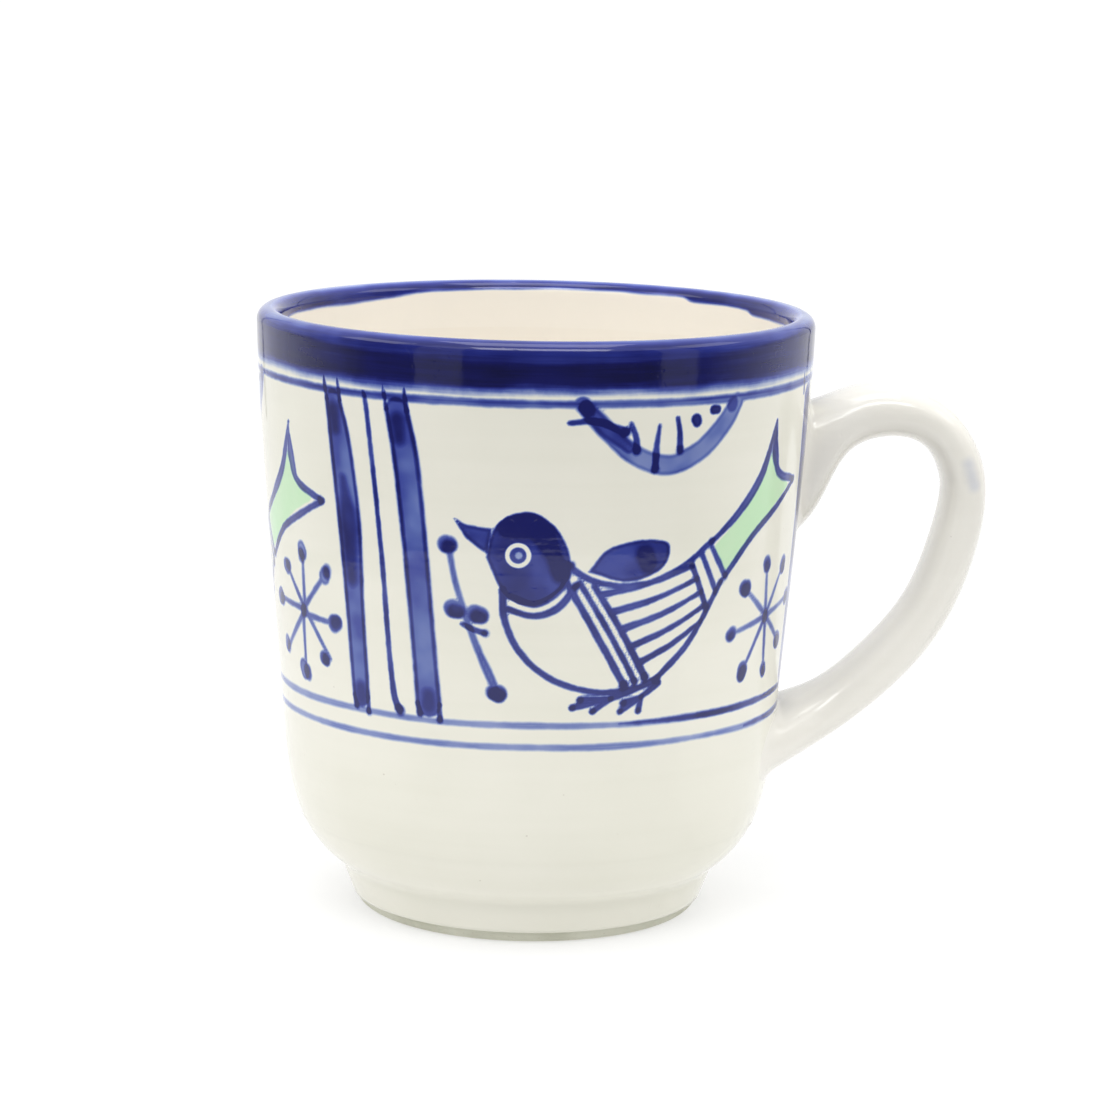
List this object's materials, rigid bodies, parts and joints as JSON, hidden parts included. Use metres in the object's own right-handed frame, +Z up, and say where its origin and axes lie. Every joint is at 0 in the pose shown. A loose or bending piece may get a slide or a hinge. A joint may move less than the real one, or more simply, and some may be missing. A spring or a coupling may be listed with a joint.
{
  "type": "stoneware mug",
  "caption": "Footed stoneware mug with a wide round mouth, a rounded shoulder above a small turned foot, and a pulled strap handle.",
  "frame": {"origin": "centre of the foot's resting plane, on the cup's axis", "axes": "+Z up along the cup's axis; +X towards the handle"},
  "size_m": [0.1123, 0.085, 0.0927],
  "materials": {
    "clay": "bare fired stoneware, fine sandy and matt",
    "slip": "fired luting slip, matt",
    "painted_glaze": "glossy off-white glaze over brushed blue lines and a little mint green",
    "liner_glaze": "glossy warm cream glaze",
    "cobalt_glaze": "glossy dark blue brushed band",
    "white_glaze": "glossy off-white glaze"
  },
  "bodies": {
    "root": {"cup_body": "clay", "foot_ring": "clay", "handle": "clay", "upper_slip_joint": "slip", "lower_slip_joint": "slip", "outside_glaze": "painted_glaze", "inside_glaze": "liner_glaze", "rim_band": "cobalt_glaze", "handle_glaze": "white_glaze", "base_glaze": "white_glaze"}
  },
  "joints": []
}
